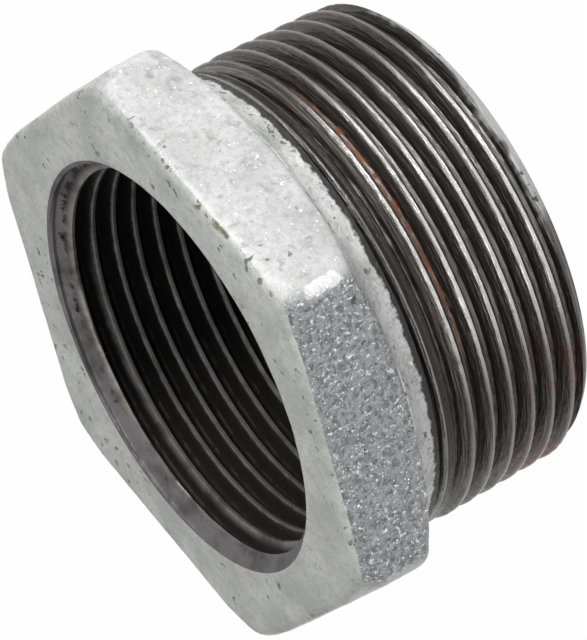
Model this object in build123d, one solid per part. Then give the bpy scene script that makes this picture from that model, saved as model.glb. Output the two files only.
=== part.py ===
from build123d import *
import math
import os

os.makedirs("parts", exist_ok=True)

# Hexagon reducing bushing, R 1 1/2 outside and Rp 1 1/4 inside, in mm.
# The origin is the centre of the thread's end face, and +Z runs to the hexagon's face.

# Pipe thread form, 11 threads per inch: flat-crested 55 degree grooves a standard depth apart
PITCH = 25.4 / 11
THREAD_DEPTH = 0.640327 * PITCH
FLANK_ANGLE = 27.5
FLAT_WIDTH = PITCH / 6
CUTTER_CLEARANCE = 0.3
LEAD_IN_TURNS = 1.3
RUNOUT_TURNS = 1.8
RUNOUT_RISE = 0.1

# Outside thread: taper 1 in 16 on the diameter, so 1 in 32 on the radius
MALE_GAUGE_DIAMETER = 47.803
MALE_GAUGE_LENGTH = 12.7
MALE_TAPER = 1 / 32
THREADED_LENGTH = 18.1
END_CHAMFER = 1.4

# Inside thread: parallel, bored to its crests from the hexagon's face, with a cored bore behind it
FEMALE_MAJOR_DIAMETER = 41.910
TAPPED_DEPTH = 22.0
MOUTH_CLEARANCE = 0.2
CORED_DIAMETER = 38.0

# Hexagon
OVERALL_LENGTH = 31.0
ACROSS_FLATS = 53.5
CORNER_RADIUS = 2.0
FACE_EDGE_RADIUS = 1.2

# Cast shoulder between the hexagon and the thread
SHOULDER_SLOPE = 19.5
SHOULDER_FLARE = 2.4


def male_crest_radius(height):
    """Outer radius of the taper thread at a height above its end face."""
    return MALE_GAUGE_DIAMETER / 2 + (height - MALE_GAUGE_LENGTH) * MALE_TAPER


def female_crest_radius():
    """Inner radius of the parallel thread."""
    return FEMALE_MAJOR_DIAMETER / 2 - THREAD_DEPTH


def turned_blank():
    """Bored body of revolution: end chamfer, taper, cast shoulder, and a rim past the hexagon."""
    cored_radius = CORED_DIAMETER / 2
    tapped_radius = female_crest_radius()
    tap_end = OVERALL_LENGTH - TAPPED_DEPTH
    rim_radius = ACROSS_FLATS
    slope = math.radians(SHOULDER_SLOPE)
    flare_foot = THREADED_LENGTH
    root_height = flare_foot + SHOULDER_FLARE
    root_radius = male_crest_radius(root_height)
    flare_radius = root_radius + SHOULDER_FLARE * math.cos(slope)
    flare_height = root_height + SHOULDER_FLARE * math.sin(slope)
    rim_height = root_height + (rim_radius - root_radius) * math.tan(slope)
    chamfered_radius = male_crest_radius(END_CHAMFER)
    outline = Polyline(
        (cored_radius, 0),
        (chamfered_radius - END_CHAMFER, 0),
        (chamfered_radius, END_CHAMFER),
        (male_crest_radius(flare_foot), flare_foot),
        (flare_radius, flare_height),
        (rim_radius, rim_height),
        (rim_radius, rim_height + OVERALL_LENGTH),
        (tapped_radius, rim_height + OVERALL_LENGTH),
        (tapped_radius, tap_end),
        (cored_radius, tap_end - tapped_radius + cored_radius),
        close=True,
    )
    return revolve(make_face(Plane.XZ * outline), Axis.Z, 360)


def hexagon_bar():
    """Hexagonal bar with rounded corners and an eased edge round its face."""
    corner_reach = ACROSS_FLATS / 2 / math.cos(math.radians(30))
    sketch = RegularPolygon(corner_reach, 6, rotation=30)
    bar = extrude(fillet(sketch.vertices(), CORNER_RADIUS), OVERALL_LENGTH)
    face_edges = bar.faces().sort_by(Axis.Z)[-1].edges()
    return fillet(face_edges, FACE_EDGE_RADIUS)


def screw_line(bottom, top, bottom_radius, top_radius):
    """One right-hand helix at the thread's pitch, in phase with every other at equal height."""
    cone_angle = math.degrees(math.atan2(top_radius - bottom_radius, top - bottom))
    slant_pitch = PITCH / math.cos(math.radians(cone_angle))
    line = Edge.make_helix(slant_pitch, top - bottom, bottom_radius, (0, 0, bottom), angle=cone_angle)
    return line.rotate(Axis.Z, 360 * bottom / PITCH)


def male_thread_cutter():
    """Groove of the taper thread, rising out of the metal just before the shoulder.

    The groove's flat bottom follows two helices that join end to end.
    """
    start = -LEAD_IN_TURNS * PITCH
    end = THREADED_LENGTH
    runout = end - RUNOUT_TURNS * PITCH
    start_radius = male_crest_radius(start) - THREAD_DEPTH
    runout_radius = male_crest_radius(runout) - THREAD_DEPTH
    end_radius = male_crest_radius(end) + RUNOUT_RISE
    full_depth = screw_line(start, runout, start_radius, runout_radius)
    rising = screw_line(runout, end, runout_radius, end_radius)
    half_flat = FLAT_WIDTH / 2
    flank_depth = THREAD_DEPTH + RUNOUT_RISE
    half_mouth = half_flat + flank_depth * math.tan(math.radians(FLANK_ANGLE))
    back = flank_depth + CUTTER_CLEARANCE
    outline = Polyline(
        (0, -half_flat),
        (flank_depth, -half_mouth),
        (back, -half_mouth),
        (back, half_mouth),
        (flank_depth, half_mouth),
        (0, half_flat),
        close=True,
    )
    plane = Plane(origin=(start_radius, 0, start), x_dir=(1, 0, 0), z_dir=(0, -1, 0))
    section = make_face(plane * outline).rotate(Axis.Z, 360 * start / PITCH)
    return sweep(section, path=Wire([full_depth, rising]), is_frenet=True, transition=Transition.RIGHT)


def mouth_countersink():
    """45 degree countersink at the hexagon's face, a little wider than the thread."""
    inner_radius = female_crest_radius()
    outer_radius = FEMALE_MAJOR_DIAMETER / 2 + MOUTH_CLEARANCE
    depth = outer_radius - inner_radius
    cone = Cone(inner_radius, outer_radius, depth, align=(Align.CENTER, Align.CENTER, Align.MAX))
    return Pos(0, 0, OVERALL_LENGTH) * cone


blank = turned_blank() & hexagon_bar()
hex_bushing = blank - mouth_countersink() - male_thread_cutter()
export_step(hex_bushing, "parts/hex_bushing.step")
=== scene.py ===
import math

import bmesh
import bpy
import numpy as np
from mathutils import Matrix, Vector, noise


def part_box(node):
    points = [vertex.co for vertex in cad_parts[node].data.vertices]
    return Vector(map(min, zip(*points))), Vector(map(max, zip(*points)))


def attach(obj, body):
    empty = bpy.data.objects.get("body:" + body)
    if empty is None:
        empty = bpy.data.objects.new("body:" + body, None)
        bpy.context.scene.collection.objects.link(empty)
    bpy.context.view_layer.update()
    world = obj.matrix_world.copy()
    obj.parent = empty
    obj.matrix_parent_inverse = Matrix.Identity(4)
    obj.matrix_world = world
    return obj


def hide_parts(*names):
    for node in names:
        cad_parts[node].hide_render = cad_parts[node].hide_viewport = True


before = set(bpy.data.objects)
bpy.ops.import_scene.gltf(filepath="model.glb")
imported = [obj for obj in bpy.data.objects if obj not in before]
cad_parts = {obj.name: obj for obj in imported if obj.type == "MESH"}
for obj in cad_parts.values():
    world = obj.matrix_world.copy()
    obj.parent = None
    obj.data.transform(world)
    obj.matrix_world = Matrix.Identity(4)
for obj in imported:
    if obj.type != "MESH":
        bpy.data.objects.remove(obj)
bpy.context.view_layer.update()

# Hexagon reducing bushing, R 1 1/2 outside and Rp 1 1/4 inside. Lengths are in mm up to the mesh.
MM = 0.001
CAD_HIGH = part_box("hex_bushing")[1]
OVERALL_LENGTH = CAD_HIGH.z / MM
HALF_FLATS = CAD_HIGH.x / MM

# Both threads: 11 threads per inch, 55 degree form
PITCH = 25.4 / 11
THREAD_DEPTH = 0.640327 * PITCH
ROOT_FLAT = 1 / 12
CREST_FLAT = 1 / 14
RUNOUT_TURNS = 1.8

# Outside thread
MALE_GAUGE_RADIUS = 47.803 / 2
MALE_GAUGE_LENGTH = 12.7
MALE_TAPER = 1 / 32
THREADED_LENGTH = 18.1
END_CHAMFER = 1.4

# Inside thread
FEMALE_MAJOR_RADIUS = 41.910 / 2
FEMALE_CREST_RADIUS = FEMALE_MAJOR_RADIUS - THREAD_DEPTH
TAPPED_DEPTH = 22.0
TAP_END = OVERALL_LENGTH - TAPPED_DEPTH
MOUTH_RADIUS = FEMALE_MAJOR_RADIUS + 0.2
CORED_RADIUS = 19.0

# Hexagon and the cast shoulder behind it
CORNER_RADIUS = 2.0
SMALLEST_CORNER = 0.05
FACE_EDGE_RADIUS = 1.2
REAR_EDGE_RADIUS = 0.7
SHOULDER_SLOPE = math.radians(19.5)
SHOULDER_FLARE = 2.4

# The corners' knocked-back ends: depth, length along the corner, how far out from the flats they start,
# how much further out they reach that depth, and the length and share of it at the rear
BLUNT_CORNER = 1.3
BLUNT_LENGTH = 3.2
BLUNT_START = 1.2
BLUNT_SPREAD = 2.6
REAR_BLUNT_LENGTH = BLUNT_LENGTH * 0.7
REAR_BLUNT_SHARE = 0.8

# Mesh density. SNAP is how near its end ring, in mm, a point of a screw row joins that ring.
COLUMNS = 336
THREAD_ROWS = (0.0, 0.06, 0.12, 0.25, 0.38, 0.44, 0.5, 0.56, 0.62, 0.75, 0.88, 0.94)
SNAP = 0.03
BORE_RINGS = 12
FACE_RINGS = 14
FACE_EDGE_RINGS = 5
EDGE_RINGS_LIKE_FACE = 3
FLAT_RINGS = 22
REAR_EDGE_RINGS = 4
SHOULDER_RINGS = 4
FLARE_RINGS = 7
END_RINGS = 6
SHARP_ANGLE = math.radians(38)

# The casting's lumps and the cut threads' tears: depth in mm, how close together they lie,
# and how much of the casting's share each of its surfaces gets
CAST_LUMP = 0.14
CAST_GRAIN = 0.11
CUT_TEAR = 0.06
LUMP_SCALE = 0.22
GRAIN_SCALE = 1.1
TEAR_SCALE = 0.9
FINE_TEAR_SCALE = 3.1
FINE_TEAR_SHARE = 0.4
GRAIN_SHIFT = Vector((7, 3, 1))
TEAR_SHIFT = Vector((2, 5, 8))
CAST_SHARES = {"cast_face": 0.5, "cast_flats": 0.9, "cast_shoulder": 0.9, "cored_bore": 1.0}

# The chaser's marks on the last, shallow turns: depth, and how fast they come in and run out
CHASER_MARK = 0.45
CHASER_COMES_IN = 1.4
CHASER_RUNS_OUT = 14

# Share of the groove's flank that is rounded
FLANK_ROUNDING = 0.4

TURN = 2 * math.pi
QUARTER_TURN = math.radians(90)
ANGLES = np.arange(COLUMNS) * TURN / COLUMNS


# Form

def male_crest(height):
    """Crest radius of the outside taper thread at a height."""
    return MALE_GAUGE_RADIUS + (height - MALE_GAUGE_LENGTH) * MALE_TAPER


def hexagon_radius(angle, inset=0.0):
    """Distance from the axis to the rounded hexagon's outline, moved inwards by inset."""
    half_flats = HALF_FLATS - inset
    corner = max(CORNER_RADIUS - inset, SMALLEST_CORNER)
    sector = math.radians(60)
    first_corner = sector / 2
    from_corner = np.abs((angle - first_corner + sector / 2) % sector - sector / 2)
    arc_centre = (half_flats - corner) / math.cos(sector / 2)
    arc_end = math.atan2(corner * math.sin(sector / 2), arc_centre + corner * math.cos(sector / 2))
    on_flat = half_flats / np.cos(sector / 2 - from_corner)
    under_root = np.clip(corner ** 2 - (arc_centre * np.sin(from_corner)) ** 2, 0, None)
    on_arc = arc_centre * np.cos(from_corner) + np.sqrt(under_root)
    return np.where(from_corner < arc_end, on_arc, on_flat)


def blunted(radius, height, rear_height):
    """The hexagon's outline with its six corners knocked back at the face and at the shoulder."""
    past = np.clip((radius - HALF_FLATS - BLUNT_START) / BLUNT_SPREAD, 0, 1)
    near_face = np.clip(1 - (OVERALL_LENGTH - height) / BLUNT_LENGTH, 0, 1)
    near_rear = np.clip(1 - (height - rear_height) / REAR_BLUNT_LENGTH, 0, 1)
    return radius - BLUNT_CORNER * past * (near_face ** 2 + REAR_BLUNT_SHARE * near_rear ** 2)


def groove(phase):
    """Share of the full thread depth, 1 in the root and 0 on the crest, at a phase in turns."""
    away = np.abs((phase + 0.5) % 1.0 - 0.5)
    flank = np.clip((0.5 - CREST_FLAT - away) / (0.5 - CREST_FLAT - ROOT_FLAT), 0, 1)
    rounded = flank * flank * (3 - 2 * flank)
    return (1 - FLANK_ROUNDING) * flank + FLANK_ROUNDING * rounded


def male_thread_radius(angle, height):
    """Outside thread with its runout against the shoulder and its chamfer at the end."""
    phase = height / PITCH - angle / TURN
    room = np.clip((THREADED_LENGTH - height) / (RUNOUT_TURNS * PITCH), 0, 1)
    cut = groove(phase) * THREAD_DEPTH * room ** 0.5
    shallow = np.clip(CHASER_COMES_IN * (1 - room), 0, 1) * np.clip(room * CHASER_RUNS_OUT, 0, 1)
    chaser_marks = CHASER_MARK * (0.5 + 0.5 * np.cos(2 * TURN * phase)) * shallow
    end_cone = male_crest(END_CHAMFER) - END_CHAMFER + height
    return np.minimum(male_crest(height) - cut - chaser_marks, end_cone)


def female_thread_radius(angle, height):
    """Inside thread between the cored bore and the mouth's countersink."""
    phase = height / PITCH - angle / TURN
    room = np.clip((height - TAP_END) / (RUNOUT_TURNS * PITCH), 0, 1)
    cut = groove(phase) * THREAD_DEPTH * room
    crest = np.minimum(FEMALE_CREST_RADIUS, CORED_RADIUS + (height - TAP_END))
    mouth = MOUTH_RADIUS - (OVERALL_LENGTH - height)
    return np.maximum(crest + cut, mouth)


# Mesh

class TurnedMesh:
    """Vertices and faces of a closed body, made of rings round the axis."""

    def __init__(self):
        self.points = []
        self.faces = []
        self.finishes = []

    def ring(self, radius, height):
        """One closed ring; radius and height may change round it."""
        radius = np.broadcast_to(radius, ANGLES.shape)
        height = np.broadcast_to(height, ANGLES.shape)
        first = len(self.points)
        for angle, r, z in zip(ANGLES, radius, height):
            self.points.append((r * math.cos(angle), r * math.sin(angle), z))
        return list(range(first, first + COLUMNS))

    def face(self, corners, finish):
        """One face, with corners that fell together taken out."""
        kept = [c for k, c in enumerate(corners) if c != corners[k - 1]]
        if len(set(kept)) > 2:
            self.faces.append(kept)
            self.finishes.append(finish)

    def strip(self, near, far, finish):
        """Faces between two rings."""
        for k in range(COLUMNS):
            n = (k + 1) % COLUMNS
            self.face((near[k], near[n], far[n], far[k]), finish)

    def rings(self, start, outline, finish):
        """Rings along an outline of (radius, height), joined to the ring at its start."""
        for radius, height in outline:
            ring = self.ring(radius, height)
            self.strip(start, ring, finish)
            start = ring
        return start

    def screw(self, lower, upper, low, high, surface, finish):
        """Faces between two rings whose rows climb one pitch a turn, so that they follow the thread."""
        steps = len(THREAD_ROWS)
        first_turn = math.floor(low / PITCH) - 1
        last_turn = math.ceil(high / PITCH) + 1
        rows = [t + p for t in range(first_turn, last_turn) for p in THREAD_ROWS]
        grid = []
        for row in rows:
            heights = (row + ANGLES / TURN) * PITCH
            radii = surface(ANGLES, heights)
            line = []
            for k, (angle, r, z) in enumerate(zip(ANGLES, radii, heights)):
                if z < low + SNAP:
                    line.append(lower[k])
                elif z > high - SNAP:
                    line.append(upper[k])
                else:
                    line.append(len(self.points))
                    self.points.append((r * math.cos(angle), r * math.sin(angle), z))
            grid.append(line)
        for i in range(len(rows) - 1):
            for k in range(COLUMNS - 1):
                self.face((grid[i][k], grid[i][k + 1], grid[i + 1][k + 1], grid[i + 1][k]), finish)
        last = COLUMNS - 1
        for i in range(len(rows) - 1 - steps):
            here, there = grid[i], grid[i + steps]
            above, beyond = grid[i + 1], grid[i + 1 + steps]
            self.face((here[last], there[0], beyond[0], above[last]), finish)


def between(start, end, count):
    """Evenly spaced (radius, height) pairs after start, up to and with end."""
    steps = [(k + 1) / count for k in range(count)]
    return [tuple(a + (b - a) * s for a, b in zip(start, end)) for s in steps]


FINISHES = ("cored_bore", "tapped_bore", "cast_face", "cast_flats", "cast_shoulder", "cut_thread", "end_face")

# Where finishes meet, the first of these that is there decides how rough the seam is
SEAM_ORDER = ("end_face", "cast_face", "cut_thread", "tapped_bore")


def bushing_mesh():
    """The whole bushing as one closed skin, from the bore's end round to the end face."""
    body = TurnedMesh()
    finish = {name: k for k, name in enumerate(FINISHES)}

    bore_end = body.ring(CORED_RADIUS, 0.0)
    start = (CORED_RADIUS, 0.0)
    up_bore = between(start, (CORED_RADIUS, TAP_END), BORE_RINGS)
    cored_top = body.rings(bore_end, up_bore, finish["cored_bore"])

    mouth = body.ring(MOUTH_RADIUS, OVERALL_LENGTH)
    body.screw(cored_top, mouth, TAP_END, OVERALL_LENGTH, female_thread_radius, finish["tapped_bore"])

    foot_radius = male_crest(THREADED_LENGTH)
    root_height = THREADED_LENGTH + SHOULDER_FLARE
    root_radius = male_crest(root_height)
    outline = hexagon_radius(ANGLES)
    rear_height = root_height + (outline - root_radius) * math.tan(SHOULDER_SLOPE)

    face_edge = blunted(hexagon_radius(ANGLES, FACE_EDGE_RADIUS), OVERALL_LENGTH, rear_height)
    on_face = between((MOUTH_RADIUS, OVERALL_LENGTH), (face_edge, OVERALL_LENGTH), FACE_RINGS)
    around = body.rings(mouth, on_face, finish["cast_face"])

    edge = []
    for k in range(1, FACE_EDGE_RINGS + 1):
        turn = QUARTER_TURN * (1 - k / FACE_EDGE_RINGS)
        inset = FACE_EDGE_RADIUS * (1 - math.cos(turn))
        height = OVERALL_LENGTH - FACE_EDGE_RADIUS * (1 - math.sin(turn))
        edge.append((blunted(hexagon_radius(ANGLES, inset), height, rear_height), height))
    around = body.rings(around, edge[:EDGE_RINGS_LIKE_FACE], finish["cast_face"])
    around = body.rings(around, edge[EDGE_RINGS_LIKE_FACE:], finish["cast_flats"])

    flats_start = (outline, np.full(COLUMNS, OVERALL_LENGTH - FACE_EDGE_RADIUS))
    flats = between(flats_start, (outline, rear_height + REAR_EDGE_RADIUS), FLAT_RINGS)
    around = body.rings(around, [(blunted(r, z, rear_height), z) for r, z in flats], finish["cast_flats"])

    fillet_turn = QUARTER_TURN - SHOULDER_SLOPE
    rear = []
    for k in range(1, REAR_EDGE_RINGS + 1):
        turn = fillet_turn * k / REAR_EDGE_RINGS
        inset = REAR_EDGE_RADIUS * (1 - math.cos(turn))
        drop = REAR_EDGE_RADIUS * math.sin(turn)
        height = rear_height + REAR_EDGE_RADIUS - drop
        rear.append((blunted(hexagon_radius(ANGLES, inset), height, rear_height), height))
    around = body.rings(around, rear, finish["cast_flats"])

    fillet_radius = SHOULDER_FLARE / math.tan(fillet_turn / 2)
    centre = (foot_radius + fillet_radius, THREADED_LENGTH)
    arc = []
    for k in range(FLARE_RINGS):
        turn = fillet_turn * (1 - k / FLARE_RINGS)
        arc.append((centre[0] - fillet_radius * math.cos(turn), centre[1] + fillet_radius * math.sin(turn)))
    around = body.rings(around, between(rear[-1], arc[0], SHOULDER_RINGS), finish["cast_shoulder"])
    around = body.rings(around, arc[1:], finish["cast_shoulder"])
    thread_top = body.ring(foot_radius, THREADED_LENGTH)
    body.strip(around, thread_top, finish["cast_shoulder"])

    end_radius = male_thread_radius(ANGLES, 0.0)
    thread_end = body.ring(end_radius, 0.0)
    body.screw(thread_end, thread_top, 0.0, THREADED_LENGTH, male_thread_radius, finish["cut_thread"])

    on_end = between((end_radius, 0.0), (CORED_RADIUS, 0.0), END_RINGS)[:-1]
    around = body.rings(thread_end, on_end, finish["end_face"])
    body.strip(around, bore_end, finish["end_face"])
    return body


def roughen(point, name, normal):
    """The point moved into the metal, by the casting's lumps or the cut thread's tears."""
    at = Vector(point)
    if name in CAST_SHARES:
        lump = 0.5 + 0.5 * noise.noise(at * LUMP_SCALE)
        grain = 0.5 + 0.5 * noise.noise(at * GRAIN_SCALE + GRAIN_SHIFT)
        depth = CAST_SHARES[name] * (CAST_LUMP * lump + CAST_GRAIN * grain)
    elif name in ("cut_thread", "tapped_bore"):
        tear = max(0.0, noise.noise(at * TEAR_SCALE + TEAR_SHIFT))
        tear += FINE_TEAR_SHARE * abs(noise.noise(at * FINE_TEAR_SCALE))
        depth = CUT_TEAR * tear
    else:
        depth = 0.0
    return at - normal * depth


def make_bushing():
    """The bushing's object, facing outwards, with one finish for each kind of surface."""
    body = bushing_mesh()
    mesh = bpy.data.meshes.new("galvanised_bushing")
    mesh.from_pydata(body.points, [], body.faces)
    mesh.polygons.foreach_set("material_index", body.finishes)
    mesh.update()
    work = bmesh.new()
    work.from_mesh(mesh)
    bmesh.ops.recalc_face_normals(work, faces=work.faces)
    work.normal_update()
    moved = []
    for vertex in work.verts:
        kinds = {FINISHES[f.material_index] for f in vertex.link_faces}
        name = next((n for n in SEAM_ORDER if n in kinds), min(kinds))
        moved.append(roughen(vertex.co, name, vertex.normal))
    for vertex, place in zip(work.verts, moved):
        vertex.co = place * MM
    work.to_mesh(mesh)
    work.free()
    for polygon in mesh.polygons:
        polygon.use_smooth = True
    mesh.set_sharp_from_angle(angle=SHARP_ANGLE)
    bushing = bpy.data.objects.new("galvanised_bushing", mesh)
    bpy.context.scene.collection.objects.link(bushing)
    return bushing


# Finishes

class Wiring:
    """Short calls that add nodes to one tree and join them."""

    def __init__(self, tree):
        self.tree = tree

    def add(self, kind, **settings):
        """A new node with its settings."""
        node = self.tree.nodes.new(kind)
        for key, value in settings.items():
            setattr(node, key, value)
        return node

    def put(self, value, socket):
        """A value, or another node's output, into a socket; None leaves the socket as it is."""
        if isinstance(value, bpy.types.NodeSocket):
            self.tree.links.new(value, socket)
        elif value is not None:
            socket.default_value = value

    def math(self, operation, first, second=None, clamp=False):
        """The result of one sum."""
        node = self.add("ShaderNodeMath", operation=operation, use_clamp=clamp)
        for value, socket in zip((first, second), node.inputs):
            self.put(value, socket)
        return node.outputs[0]

    def plus(self, first, second, clamp=False):
        return self.math("ADD", first, second, clamp)

    def minus(self, first, second):
        return self.math("SUBTRACT", first, second)

    def times(self, first, second):
        return self.math("MULTIPLY", first, second)

    def larger(self, first, second):
        return self.math("MAXIMUM", first, second)

    def sway(self, value, width):
        """A noise around one half turned into one around zero, times a width."""
        return self.times(self.minus(value, 0.5), width)

    def noise(self, vector, scale, detail, roughness):
        """A noise texture's value."""
        node = self.add("ShaderNodeTexNoise")
        self.put(vector, node.inputs["Vector"])
        self.put(scale, node.inputs["Scale"])
        node.inputs["Detail"].default_value = detail
        node.inputs["Roughness"].default_value = roughness
        return node.outputs[0]

    def span(self, value, low, high, to_low=0.0, to_high=1.0):
        """A smooth change from to_low to to_high while the value goes from low to high."""
        node = self.add("ShaderNodeMapRange", interpolation_type="SMOOTHSTEP")
        for number, socket in zip((value, low, high, to_low, to_high), node.inputs):
            self.put(number, socket)
        return node.outputs[0]

    def blend(self, share, first, second):
        """The first colour where share is 0 and the second where it is 1."""
        node = self.add("ShaderNodeMix", data_type="RGBA")
        self.put(share, node.inputs[0])
        self.put(first, node.inputs[6])
        self.put(second, node.inputs[7])
        return node.outputs[2]

    def group(self, tree, **values):
        """The outputs of a node group; an underscore in a name stands for a space."""
        node = self.add("ShaderNodeGroup", node_tree=tree)
        for name, value in values.items():
            self.put(value, node.inputs[name.replace("_", " ")])
        return node.outputs


def start_group(name, inputs, outputs):
    """A node group with named sockets, and its wiring, inputs and outputs."""
    tree = bpy.data.node_groups.new(name, "ShaderNodeTree")
    for label, value in inputs:
        kind = "NodeSocketVector" if label == "Vector" else "NodeSocketFloat"
        socket = tree.interface.new_socket(name=label, in_out="INPUT", socket_type=kind)
        if value is not None:
            socket.default_value = value
    for label in outputs:
        tree.interface.new_socket(name=label, in_out="OUTPUT", socket_type="NodeSocketFloat")
    wiring = Wiring(tree)
    return tree, wiring, wiring.add("NodeGroupInput").outputs, wiring.add("NodeGroupOutput").inputs


def split_place(w, vector):
    """A point's x, y and z, and its distance from the axis."""
    split = w.add("ShaderNodeSeparateXYZ")
    w.put(vector, split.inputs[0])
    x, y, z = split.outputs
    squares = w.plus(w.times(x, x), w.times(y, y))
    return x, y, z, w.math("SQRT", squares)


def cast_grain_group():
    """Sand-cast grain under zinc: a height, mottles, dark pits, bright specks and the fine grain alone."""
    tree, w, given, out = start_group(
        "cast_grain",
        [("Vector", None), ("Coarseness", 1.0), ("Pit Share", 0.5), ("Speck Share", 0.5)],
        ["Height", "Mottle", "Pits", "Specks", "Grain"],
    )
    at = given["Vector"]
    coarse = w.noise(at, 420.0, 3.0, 0.6)
    fine = w.noise(at, 1500.0, 3.0, 0.65)
    mottle = w.noise(at, 190.0, 5.0, 0.68)
    pit_cells = w.noise(at, 900.0, 2.0, 0.55)
    pit_edge = w.minus(0.78, w.times(given["Pit Share"], 0.22))
    gathered = w.span(w.noise(at, 150.0, 3.0, 0.6), 0.44, 0.58, 0.1, 1.0)
    pits = w.times(w.span(pit_cells, pit_edge, w.plus(pit_edge, 0.05)), gathered)
    speck_cells = w.noise(at, 2300.0, 1.0, 0.5)
    speck_edge = w.minus(0.80, w.times(given["Speck Share"], 0.2))
    specks = w.span(speck_cells, speck_edge, w.plus(speck_edge, 0.06))
    raised = w.plus(w.times(coarse, 0.7), w.times(fine, 0.45))
    raised = w.times(raised, given["Coarseness"])
    height = w.minus(raised, w.times(pits, 0.5))
    for value, socket in zip((height, mottle, pits, specks, fine), out):
        w.put(value, socket)
    return tree


def thread_depth_group():
    """How deep a point lies in a thread, 0 on the crest and 1 in the root, with its height and direction."""
    tree, w, given, out = start_group(
        "thread_depth",
        [("Vector", None), ("Crest Radius", 0.02), ("Taper", 0.0), ("Depth", 0.0015)],
        ["Depth", "Height", "Around"],
    )
    x, y, z, radius = split_place(w, given["Vector"])
    crest = w.plus(given["Crest Radius"], w.times(z, given["Taper"]))
    depth = w.math("DIVIDE", w.minus(crest, radius), given["Depth"], clamp=True)
    w.put(depth, out["Depth"])
    w.put(z, out["Height"])
    w.put(w.math("ARCTAN2", y, x), out["Around"])
    return tree


def streak_group():
    """Marks along the thread: fine streaks, the thread's phase in turns and the chaser's lines."""
    tree, w, given, out = start_group(
        "tool_streaks",
        [("Around", 0.0), ("Height", 0.0)],
        ["Streaks", "Phase", "Chaser"],
    )
    around = given["Around"]
    climb = w.times(around, PITCH * MM / TURN)
    across = w.times(w.minus(given["Height"], climb), STREAKS_ACROSS)
    joined = w.add("ShaderNodeCombineXYZ")
    w.put(w.times(w.math("COSINE", around), STREAKS_ALONG), joined.inputs[0])
    w.put(w.times(w.math("SINE", around), STREAKS_ALONG), joined.inputs[1])
    w.put(across, joined.inputs[2])
    w.put(w.noise(joined.outputs[0], 1.0, 3.0, 0.6), out["Streaks"])
    phase = w.math("DIVIDE", w.minus(given["Height"], climb), PITCH * MM)
    w.put(phase, out["Phase"])
    wave = w.math("COSINE", w.times(phase, 2 * TURN))
    w.put(w.minus(0.5, w.times(wave, 0.5)), out["Chaser"])
    return tree


def sector_group():
    """A soft mask round one direction from the axis, with a ragged edge."""
    tree, w, given, out = start_group(
        "ragged_sector",
        [("Around", 0.0), ("Middle", 0.0), ("Half Width", 0.5), ("Ragged", 0.0), ("Softness", 0.12)],
        ["Mask"],
    )
    nearness = w.math("COSINE", w.minus(given["Around"], given["Middle"]))
    edge = w.math("COSINE", given["Half Width"])
    nearness = w.plus(nearness, given["Ragged"])
    soft = given["Softness"]
    w.put(w.span(nearness, w.minus(edge, soft), w.plus(edge, soft)), out["Mask"])
    return tree


def corner_highlight_group():
    """A ragged mask along the hexagon's six long corners, for a painted highlight along them."""
    tree, w, given, out = start_group(
        "painted_corner_highlight",
        [("Vector", None), ("Start", 0.0296), ("Ragged", 0.0)],
        ["Mask"],
    )
    radius = w.plus(split_place(w, given["Vector"])[3], given["Ragged"])
    w.put(w.span(radius, given["Start"], w.plus(given["Start"], CORNER_HIGHLIGHT_SOFTNESS)), out["Mask"])
    return tree


def start_material(name):
    """A material with a Principled shader, and the object's own coordinates."""
    material = bpy.data.materials.new(name)
    material.use_nodes = True
    wiring = Wiring(material.node_tree)
    shader = material.node_tree.nodes["Principled BSDF"]
    where = wiring.add("ShaderNodeTexCoord").outputs["Object"]
    return material, wiring, shader, where


def side_mask(w, groups, around, side, softness=None, ragged=None):
    """The mask of one side of the bushing, given by its middle and half width in degrees."""
    middle, half_width = (math.radians(angle) for angle in side)
    return w.group(groups["sector"], Around=around, Middle=middle, Half_Width=half_width,
                   Softness=softness, Ragged=ragged)["Mask"]


def bump(w, shader, height, distance):
    """Relief without geometry, as high as distance in metres."""
    node = w.add("ShaderNodeBump")
    node.inputs["Distance"].default_value = distance
    w.put(height, node.inputs["Height"])
    w.put(node.outputs[0], shader.inputs["Normal"])


# Sides of the bushing, round the axis: middle and half width in degrees
ROUGH_SIDE = (-120, 30)
MARKED_SIDE = (-62, 34)
# Side facing the camera, where the corners' painted highlight is strongest
CORNER_HIGHLIGHT_SIDE = (-90, 25)
# Side facing the camera, where the thread's crests and roots get painted highlights
CREST_GLINT_SIDE = (-88, 30)
RUSTED_SIDE = (-76, 40)
RED_TINT_SIDE = (-158, 34)
ZINC_LEFT_SIDE = (-66, 32)
BORE_LIT_SIDE = (150, 50)

# How soft a side's edge is, where it isn't the group's own softness
CRISP = 0.02
SOFT = 0.2
SOFTEST = 0.3

# Heights in metres between which a look sets in
DARK_FOOT = (0.0188, 0.0185)
RUNOUT = (0.0150, 0.0172)
CHASED = (0.0140, 0.0160)
RED_TINT_HEIGHTS = (0.010, 0.003)
ZINC_LEFT = (0.0014, 0.0008)
FIRST_CREST = ((OVERALL_LENGTH - 4.0) * MM, (OVERALL_LENGTH - 3.4) * MM)
MOUTH_LOW = (OVERALL_LENGTH - 1.5) * MM
MOUTH = (MOUTH_LOW, MOUTH_LOW + 0.35 * MM)
EDGE_LOW = (OVERALL_LENGTH - 0.75) * MM
EDGE_HIGH = (OVERALL_LENGTH - 0.15) * MM
EDGE_SOFTNESS = 0.2 * MM
EDGE_WANDER = 0.7 * MM

# How far ragged borders wander, in metres
CORNER_WANDER = 0.0006
ZINC_LEFT_WANDER = 0.0032
MOUTH_WANDER = 0.0022

# The groove that rusts, counted in turns, and from where the six corners get a painted highlight, in metres
# from the axis
RUSTED_GROOVE = 6
CORNER_HIGHLIGHT_RADIUS = 0.03029
CORNER_HIGHLIGHT_SOFTNESS = 0.0001

# Streaks in the cut thread: how closely they lie across it and change along it
STREAKS_ACROSS = 5200.0
STREAKS_ALONG = 5.0

# Height of the fine relief, in metres
CUT_RELIEF = 0.00016
BORE_RELIEF = 0.00012
SKIN_RELIEF = 0.0002

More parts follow.
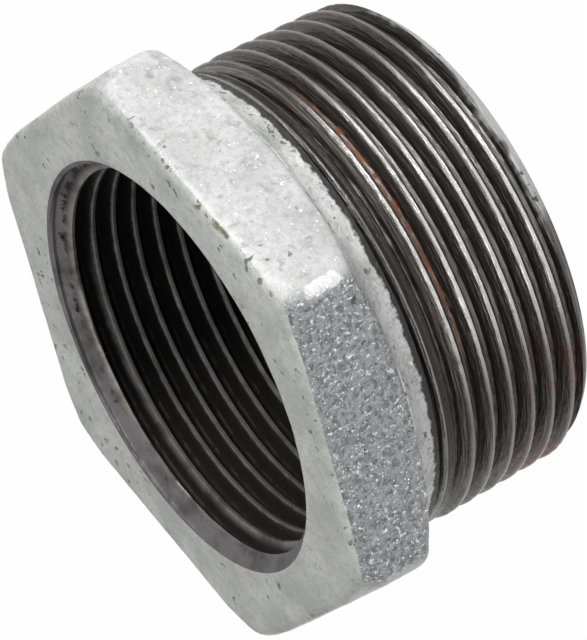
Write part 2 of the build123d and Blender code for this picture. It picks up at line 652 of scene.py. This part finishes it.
# Linear colours
ZINC = (0.59, 0.60, 0.565, 1)
ZINC_DULL = (0.43, 0.44, 0.41, 1)
ZINC_PALE = (0.66, 0.665, 0.66, 1)
ZINC_PALE_DULL = (0.55, 0.555, 0.55, 1)
ZINC_SHINY = (0.78, 0.785, 0.78, 1)
ZINC_ROUGH = (0.45, 0.455, 0.475, 1)
ZINC_ROUGH_DARK = (0.20, 0.20, 0.215, 1)
ZINC_BRIGHT = (0.88, 0.88, 0.88, 1)
ZINC_SHADE = (0.25, 0.255, 0.25, 1)
PIT_DARK = (0.07, 0.065, 0.055, 1)
RUST_STAIN = (0.20, 0.16, 0.085, 1)
RUST = (0.15, 0.048, 0.017, 1)
RUST_LIGHT = (0.30, 0.105, 0.035, 1)
RED_TINT = (0.16, 0.03, 0.025, 1)
# Crests: a painted highlight on the side facing the camera, then their dull colour elsewhere
IRON_CREST_GLINT = (0.72, 0.70, 0.68, 1)
IRON_DULL = (0.20, 0.178, 0.160, 1)
IRON_FLANK = (0.090, 0.081, 0.073, 1)
# Near-black painted shade in the thread's roots, also the colour of the shoulder's dark foot
IRON_ROOT = (0.032, 0.029, 0.027, 1)
# Lighter iron for tool streaks and crests by the shoulder, and painted glints in roots and on chaser ridges
IRON_WIPED_AND_GLINT = (0.30, 0.28, 0.26, 1)
BORE_CREST = (0.17, 0.16, 0.15, 1)
BORE_LIT = (0.24, 0.225, 0.205, 1)
# Near-black painted shade in the bore's roots, then the same on the lit side
BORE_ROOT_SHADE = (0.005, 0.0047, 0.0045, 1)
BORE_ROOT_LIT = (0.035, 0.032, 0.030, 1)
BORE_BROWN = (0.11, 0.096, 0.085, 1)
MOUTH_GREY = (0.17, 0.155, 0.16, 1)
MOUTH_DARK = (0.09, 0.082, 0.083, 1)
CORED_LIGHT = (0.10, 0.09, 0.085, 1)
CORED_DARK = (0.03, 0.027, 0.025, 1)
FACED_LIGHT = (0.34, 0.33, 0.31, 1)
FACED_DARK = (0.14, 0.13, 0.12, 1)


def zinc_material(name, groups, look):
    """Hot-dip zinc over a sand casting: mottled tones, pits, bright specks, stains and a painted highlight
    along the corners.
    """
    material, w, shader, where = start_material(name)
    cast = w.group(groups["grain"], Vector=where, Coarseness=look["coarseness"], Pit_Share=look["pits"],
                   Speck_Share=look["specks"])
    place = w.group(groups["depth"], Vector=where)
    around, height = place["Around"], place["Height"]
    colour = w.blend(w.span(cast["Mottle"], 0.34, 0.62), look["dull"], look["plain"])
    relief = cast["Height"]
    bright = cast["Specks"]
    shine = w.minus(look["roughness"], w.times(bright, 0.2))

    # One side where the sand left the casting rough
    if look["rough_share"]:
        side = side_mask(w, groups, around, ROUGH_SIDE, softness=CRISP)
        rough = w.times(side, look["rough_share"])
        sand = w.noise(where, 1700.0, 4.0, 0.68)
        colour = w.blend(rough, colour, w.blend(w.span(sand, 0.36, 0.56), ZINC_ROUGH_DARK, ZINC_ROUGH))
        sparkle = w.times(w.span(w.noise(where, 2600.0, 1.0, 0.5), 0.64, 0.68), rough)
        bright = w.larger(bright, sparkle)
        shine = w.minus(shine, w.times(rough, 0.12))
        metal = w.span(side, 0.0, 1.0, look["metal"], look["metal"] + 0.4 * look["rough_share"])
        w.put(metal, shader.inputs["Metallic"])
        relief = w.times(relief, w.span(side, 0.0, 1.0, look["smooth_relief"], 0.7))
        relief = w.plus(relief, w.times(w.times(sand, 1.6), rough))
    else:
        shader.inputs["Metallic"].default_value = look["metal"]

    # Grey blotches and grain
    blotch = w.times(w.span(w.noise(where, 760.0, 5.0, 0.74), 0.52, 0.66), look["blotches"])
    colour = w.blend(blotch, colour, ZINC_SHADE)
    colour = w.blend(w.times(w.span(cast["Grain"], 0.44, 0.62), 0.24), colour, ZINC_SHADE)

    # Brown stains, with a broken line of them along the face's edge
    stain = w.times(w.span(w.noise(where, 430.0, 5.0, 0.75), 0.655, 0.70), look["stains"])
    if look["marks"]:
        side = side_mask(w, groups, around, MARKED_SIDE, softness=CRISP)
        line = w.plus(height, w.sway(w.noise(where, 300.0, 3.0, 0.6), EDGE_WANDER))
        line = w.times(w.span(line, EDGE_LOW, EDGE_LOW + EDGE_SOFTNESS),
                       w.span(line, EDGE_HIGH, EDGE_HIGH - EDGE_SOFTNESS))
        cracks = w.times(line, w.span(w.noise(where, 190.0, 5.0, 0.75), 0.53, 0.58))
        stain = w.larger(stain, w.times(w.times(cracks, side), look["marks"]))
    stain_tone = w.blend(w.span(w.noise(where, 1500.0, 2.0, 0.5), 0.42, 0.56), PIT_DARK, RUST_STAIN)
    colour = w.blend(stain, colour, stain_tone)

    # Pits, specks, the corners' painted highlight, strongest facing the camera, and the dark foot of the
    # shoulder
    colour = w.blend(w.times(cast["Pits"], 0.7), colour, PIT_DARK)
    colour = w.blend(bright, colour, ZINC_BRIGHT)
    ragged = w.sway(w.noise(where, 900.0, 3.0, 0.6), CORNER_WANDER)
    if look["corner_highlight"]:
        corner_highlight = w.group(groups["corner_highlight"], Vector=where, Start=CORNER_HIGHLIGHT_RADIUS, Ragged=ragged)["Mask"]
        most_highlighted = side_mask(w, groups, around, CORNER_HIGHLIGHT_SIDE, softness=CRISP)
        corner_highlight = w.times(corner_highlight, w.span(most_highlighted, 0.0, 1.0, 0.35, 1.0))
        colour = w.blend(corner_highlight, colour, ZINC_BRIGHT)
    if look["dark_foot"]:
        foot = w.plus(height, w.times(ragged, 2.0))
        colour = w.blend(w.span(foot, *DARK_FOOT), colour, IRON_ROOT)
    w.put(colour, shader.inputs["Base Color"])
    w.put(w.plus(shine, w.times(cast["Pits"], 0.3), clamp=True), shader.inputs["Roughness"])
    bump(w, shader, relief, look["relief"])
    return material


def cut_thread_material(groups):
    """Cut and oiled iron, with rust by the shoulder and zinc left on the end chamfer."""
    material, w, shader, where = start_material("oiled_cut_thread")
    place = w.group(groups["depth"], Vector=where, Crest_Radius=male_crest(0) * MM, Taper=MALE_TAPER,
                    Depth=THREAD_DEPTH * MM)
    around, depth, height = place["Around"], place["Depth"], place["Height"]
    tear = w.noise(where, 700.0, 4.0, 0.7)
    patches = w.noise(where, 130.0, 3.0, 0.6)
    marks = w.group(groups["streaks"], Around=around, Height=height)
    streak = marks["Streaks"]

    # Crests, flanks and roots, with a painted highlight on the crests on the side facing the camera
    edge = w.plus(depth, w.sway(tear, 0.12))
    runout = w.span(height, *RUNOUT)
    crest_glint = side_mask(w, groups, around, CREST_GLINT_SIDE, softness=SOFT)
    crest = w.blend(crest_glint, IRON_DULL, IRON_CREST_GLINT)
    colour = w.blend(w.span(edge, 0.02, 0.15), w.blend(runout, crest, IRON_WIPED_AND_GLINT), IRON_FLANK)
    colour = w.blend(w.times(w.span(streak, 0.5, 0.75), 0.4), colour, IRON_WIPED_AND_GLINT)
    # Painted shade: the grooves go near-black at the roots, and near the shoulder already where shallow
    colour = w.blend(w.times(runout, w.span(depth, 0.06, 0.2)), colour, IRON_ROOT)
    colour = w.blend(w.span(edge, 0.45, 0.90), colour, IRON_ROOT)

    # Painted highlights: bright lines in the roots, strongest facing the camera, and on the chaser's ridges
    # where it ran out
    root_glint = w.times(w.span(depth, 0.93, 0.97), w.span(crest_glint, 0.0, 1.0, 0.25, 0.9))
    colour = w.blend(root_glint, colour, IRON_WIPED_AND_GLINT)
    chaser_glint = w.times(w.span(marks["Chaser"], 0.72, 0.97), w.span(height, *CHASED))
    colour = w.blend(w.times(chaser_glint, w.span(streak, 0.3, 0.5, 0.4, 0.9)), colour, IRON_WIPED_AND_GLINT)

    # Rust in one groove
    away = w.math("ABSOLUTE", w.minus(marks["Phase"], RUSTED_GROOVE))
    away = w.plus(away, w.sway(tear, 0.22))
    rust = w.times(w.span(away, 0.20, 0.08), side_mask(w, groups, around, RUSTED_SIDE))
    rust = w.times(rust, w.span(patches, 0.38, 0.56))
    flecks = w.noise(where, 1100.0, 4.0, 0.7)
    rust = w.times(rust, w.span(flecks, 0.36, 0.54))
    rust_tone = w.blend(w.span(flecks, 0.48, 0.62), RUST, RUST_LIGHT)
    colour = w.blend(w.times(rust, 0.85), colour, rust_tone)

    # A dark-red tint on one side near the end
    red_tint = w.times(side_mask(w, groups, around, RED_TINT_SIDE), w.span(height, *RED_TINT_HEIGHTS))
    red_tint = w.times(red_tint, w.span(patches, 0.40, 0.58))
    colour = w.blend(w.times(red_tint, 0.45), colour, RED_TINT)

    # Zinc left on the end chamfer
    ragged = w.sway(w.noise(where, 200.0, 3.0, 0.55), ZINC_LEFT_WANDER)
    end_side = side_mask(w, groups, around, ZINC_LEFT_SIDE, ragged=w.sway(patches, 0.5))
    zinc_left = w.times(w.span(w.plus(height, ragged), *ZINC_LEFT), end_side)
    cast = w.group(groups["grain"], Vector=where, Coarseness=1.0, Pit_Share=0.6, Speck_Share=0.6)
    zinc = w.blend(cast["Mottle"], ZINC_DULL, ZINC_PALE)
    zinc = w.blend(cast["Pits"], zinc, PIT_DARK)
    w.put(w.blend(zinc_left, colour, zinc), shader.inputs["Base Color"])

    shine = w.plus(w.span(depth, 0.0, 0.6, 0.25, 0.34), w.sway(tear, 0.3))
    shine = w.larger(shine, w.times(zinc_left, 0.55))
    w.put(w.larger(shine, w.times(rust, 0.75)), shader.inputs["Roughness"])
    w.put(w.span(w.larger(zinc_left, rust), 0.0, 1.0, 0.85, 0.35), shader.inputs["Metallic"])
    bump(w, shader, w.plus(w.times(tear, 0.4), streak), CUT_RELIEF)
    return material


def bore_material(groups):
    """Cut thread inside the bore: grey crests over grooves painted near-black as shade, and a dull
    countersink.
    """
    material, w, shader, where = start_material("tapped_bore_iron")
    place = w.group(groups["depth"], Vector=where, Crest_Radius=FEMALE_MAJOR_RADIUS * MM, Taper=0.0,
                    Depth=THREAD_DEPTH * MM)
    to_crest, height = place["Depth"], place["Height"]
    tear = w.noise(where, 650.0, 4.0, 0.7)
    patches = w.noise(where, 260.0, 3.0, 0.6)
    edge = w.plus(to_crest, w.sway(tear, 0.2))
    first_crest = w.span(height, *FIRST_CREST)
    crest_start = w.minus(0.80, w.times(first_crest, 0.45))
    crest_tone = w.blend(w.span(patches, 0.4, 0.65), BORE_CREST, BORE_BROWN)
    lit = side_mask(w, groups, place["Around"], BORE_LIT_SIDE, softness=SOFTEST)
    crest_tone = w.blend(w.times(lit, 0.6), crest_tone, BORE_LIT)
    first_tone = w.blend(w.span(patches, 0.36, 0.6), BORE_BROWN, BORE_LIT)
    crest_tone = w.blend(first_crest, crest_tone, first_tone)
    # Painted shade: the roots near-black, a little lighter on the lit side
    root_tone = w.blend(lit, BORE_ROOT_SHADE, BORE_ROOT_LIT)
    colour = w.blend(w.span(edge, crest_start, 1.0), root_tone, crest_tone)
    mouth = w.span(w.plus(height, w.sway(tear, MOUTH_WANDER)), *MOUTH)
    mouth_tone = w.blend(w.span(patches, 0.35, 0.6), MOUTH_DARK, MOUTH_GREY)
    w.put(w.blend(mouth, colour, mouth_tone), shader.inputs["Base Color"])
    w.put(w.span(to_crest, 0.3, 1.0, 0.55, 0.36), shader.inputs["Roughness"])
    shader.inputs["Metallic"].default_value = 0.6
    shader.inputs["Specular IOR Level"].default_value = 0.2
    bump(w, shader, tear, BORE_RELIEF)
    return material


def iron_skin_material(name, groups, light, dark, roughness):
    """Uncut or faced iron under oil, for the cored bore and the end face."""
    material, w, shader, where = start_material(name)
    cast = w.group(groups["grain"], Vector=where, Coarseness=1.0, Pit_Share=0.5, Speck_Share=0.2)
    colour = w.blend(cast["Mottle"], dark, light)
    colour = w.blend(cast["Pits"], colour, PIT_DARK)
    w.put(colour, shader.inputs["Base Color"])
    w.put(w.span(cast["Mottle"], 0.3, 0.7, roughness, roughness + 0.15), shader.inputs["Roughness"])
    shader.inputs["Metallic"].default_value = 0.5
    bump(w, shader, cast["Height"], SKIN_RELIEF)
    return material


def finish_bushing(bushing):
    """The bushing's materials, in the order of its finishes."""
    groups = {
        "grain": cast_grain_group(),
        "depth": thread_depth_group(),
        "sector": sector_group(),
        "streaks": streak_group(),
        "corner_highlight": corner_highlight_group(),
    }
    face = dict(dull=ZINC_DULL, plain=ZINC, coarseness=0.9, pits=0.62, specks=0.1, stains=0.9, roughness=0.5,
                metal=0.15, relief=0.0003, rough_share=0.0, smooth_relief=1.0, marks=0.9, blotches=0.4,
                corner_highlight=False, dark_foot=False)
    flats = dict(dull=ZINC_PALE_DULL, plain=ZINC_PALE, coarseness=1.5, pits=0.45, specks=0.6, stains=0.25,
                 roughness=0.48, metal=0.15, relief=0.0006, rough_share=1.0, smooth_relief=0.22, marks=0.5,
                 blotches=0.55, corner_highlight=True, dark_foot=False)
    shoulder = dict(dull=ZINC_DULL, plain=ZINC_SHINY, coarseness=1.1, pits=0.75, specks=0.5, stains=0.4,
                    roughness=0.45, metal=0.25, relief=0.00045, rough_share=0.3, smooth_relief=0.8, marks=0.0,
                    blotches=0.6, corner_highlight=False, dark_foot=True)
    finishes = {
        "cored_bore": iron_skin_material("cored_bore_skin", groups, CORED_LIGHT, CORED_DARK, 0.5),
        "tapped_bore": bore_material(groups),
        "cast_face": zinc_material("zinc_on_face", groups, face),
        "cast_flats": zinc_material("zinc_on_flats", groups, flats),
        "cast_shoulder": zinc_material("zinc_on_shoulder", groups, shoulder),
        "cut_thread": cut_thread_material(groups),
        "end_face": iron_skin_material("end_face_iron", groups, FACED_LIGHT, FACED_DARK, 0.35),
    }
    for name in FINISHES:
        bushing.data.materials.append(finishes[name])


# Stage, lamps and camera

CAMERA_AIM = Vector((-1.21, 0.88, OVERALL_LENGTH - 13.13)) * MM
CAMERA_DISTANCE = 728.085 * MM
CAMERA_AZIMUTH = math.radians(-0.733)
CAMERA_ELEVATION = math.radians(22.110)
CAMERA_ROLL = math.radians(-117.907)
CAMERA_LENS = 439.74
CAMERA_REACH = 20.0

# Each lamp's direction from the bushing's middle, distance and size in metres, and power in watts
LAMPS = (
    ("key", (0.80, -0.55, 0.30), 0.45, 0.22, 0.75),
    ("fill", (-0.40, -0.55, 0.75), 0.6, 0.40, 0.85),
    ("glint", (0.42, -0.85, 0.40), 0.4, 0.06, 0.5),
)
WORLD_LIGHT = 0.3

# The floor's half width and the gap below the bushing, in metres, its own look, and how much of it is glow
FLOOR_HALF = 3.0
FLOOR_GAP = 0.0001
FLOOR_COLOUR = (0.85, 0.85, 0.85, 1)
FLOOR_ROUGHNESS = 0.9
FLOOR_GLOW = 0.98


def camera_axes():
    """The camera's right, up and forward directions."""
    flat = math.cos(CAMERA_ELEVATION)
    forward = Vector((
        -flat * math.sin(CAMERA_AZIMUTH),
        flat * math.cos(CAMERA_AZIMUTH),
        -math.sin(CAMERA_ELEVATION),
    ))
    level_right = forward.cross(Vector((0, 0, 1))).normalized()
    level_up = level_right.cross(forward)
    right = level_right * math.cos(CAMERA_ROLL) + level_up * math.sin(CAMERA_ROLL)
    up = level_up * math.cos(CAMERA_ROLL) - level_right * math.sin(CAMERA_ROLL)
    return right, up, forward


def make_camera():
    """The camera, which aims at a point in the bushing."""
    data = bpy.data.cameras.new("camera")
    data.lens = CAMERA_LENS
    data.clip_end = CAMERA_REACH
    camera = bpy.data.objects.new("camera", data)
    right, up, forward = camera_axes()
    turn = Matrix((right, up, -forward)).transposed().to_4x4()
    camera.matrix_world = Matrix.Translation(CAMERA_AIM - forward * CAMERA_DISTANCE) @ turn
    bpy.context.scene.collection.objects.link(camera)
    bpy.context.scene.camera = camera


def make_lamp(name, direction, distance, size, power):
    """A square soft lamp that faces the bushing's middle."""
    data = bpy.data.lights.new(name, "AREA")
    data.size = size
    data.energy = power
    lamp = bpy.data.objects.new(name, data)
    middle = Vector((0, 0, OVERALL_LENGTH / 2 * MM))
    lamp.location = middle + Vector(direction).normalized() * distance
    lamp.rotation_euler = (middle - lamp.location).to_track_quat("-Z", "Y").to_euler()
    bpy.context.scene.collection.objects.link(lamp)


def seen_by_lens(w):
    """1 for what the lens sees straight, through glass or mirrored, and 0 for what only gives light."""
    path = w.add("ShaderNodeLightPath").outputs
    seen = w.larger(path["Is Camera Ray"], path["Is Transmission Ray"])
    return w.larger(seen, path["Is Glossy Ray"])


def choose(w, share, first, second, output):
    """The first shader where share is 0 and the second where it is 1, put on the output node."""
    mix = w.add("ShaderNodeMixShader")
    for value, socket in zip((share, first, second), mix.inputs):
        w.put(value, socket)
    w.put(mix.outputs[0], output.inputs[0])


def make_floor():
    """A plain floor that looks white and keeps a little of its own shading for the shadow."""
    half = FLOOR_HALF
    corners = [(-half, -half, 0), (half, -half, 0), (half, half, 0), (-half, half, 0)]
    mesh = bpy.data.meshes.new("floor")
    mesh.from_pydata(corners, [], [(0, 1, 2, 3)])
    floor = bpy.data.objects.new("floor", mesh)
    floor.location.z = -FLOOR_GAP
    bpy.context.scene.collection.objects.link(floor)
    material = bpy.data.materials.new("floor_white")
    material.use_nodes = True
    w = Wiring(material.node_tree)
    shader = material.node_tree.nodes["Principled BSDF"]
    shader.inputs["Base Color"].default_value = FLOOR_COLOUR
    shader.inputs["Roughness"].default_value = FLOOR_ROUGHNESS
    glow = w.add("ShaderNodeEmission")
    seen = w.times(seen_by_lens(w), FLOOR_GLOW)
    choose(w, seen, shader.outputs[0], glow.outputs[0], material.node_tree.nodes["Material Output"])
    mesh.materials.append(material)


def make_world():
    """A soft white light all round that looks plain white."""
    world = bpy.data.worlds.new("studio")
    bpy.context.scene.world = world
    world.use_nodes = True
    w = Wiring(world.node_tree)
    soft = world.node_tree.nodes["Background"]
    soft.inputs["Color"].default_value = (1, 1, 1, 1)
    soft.inputs["Strength"].default_value = WORLD_LIGHT
    white = w.add("ShaderNodeBackground")
    choose(w, seen_by_lens(w), soft.outputs[0], white.outputs[0], world.node_tree.nodes["World Output"])


bushing = make_bushing()
finish_bushing(bushing)
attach(bushing, "root")
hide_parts("hex_bushing")

make_floor()
make_world()
for lamp in LAMPS:
    make_lamp(*lamp)
make_camera()
bpy.context.scene.view_settings.view_transform = "Standard"
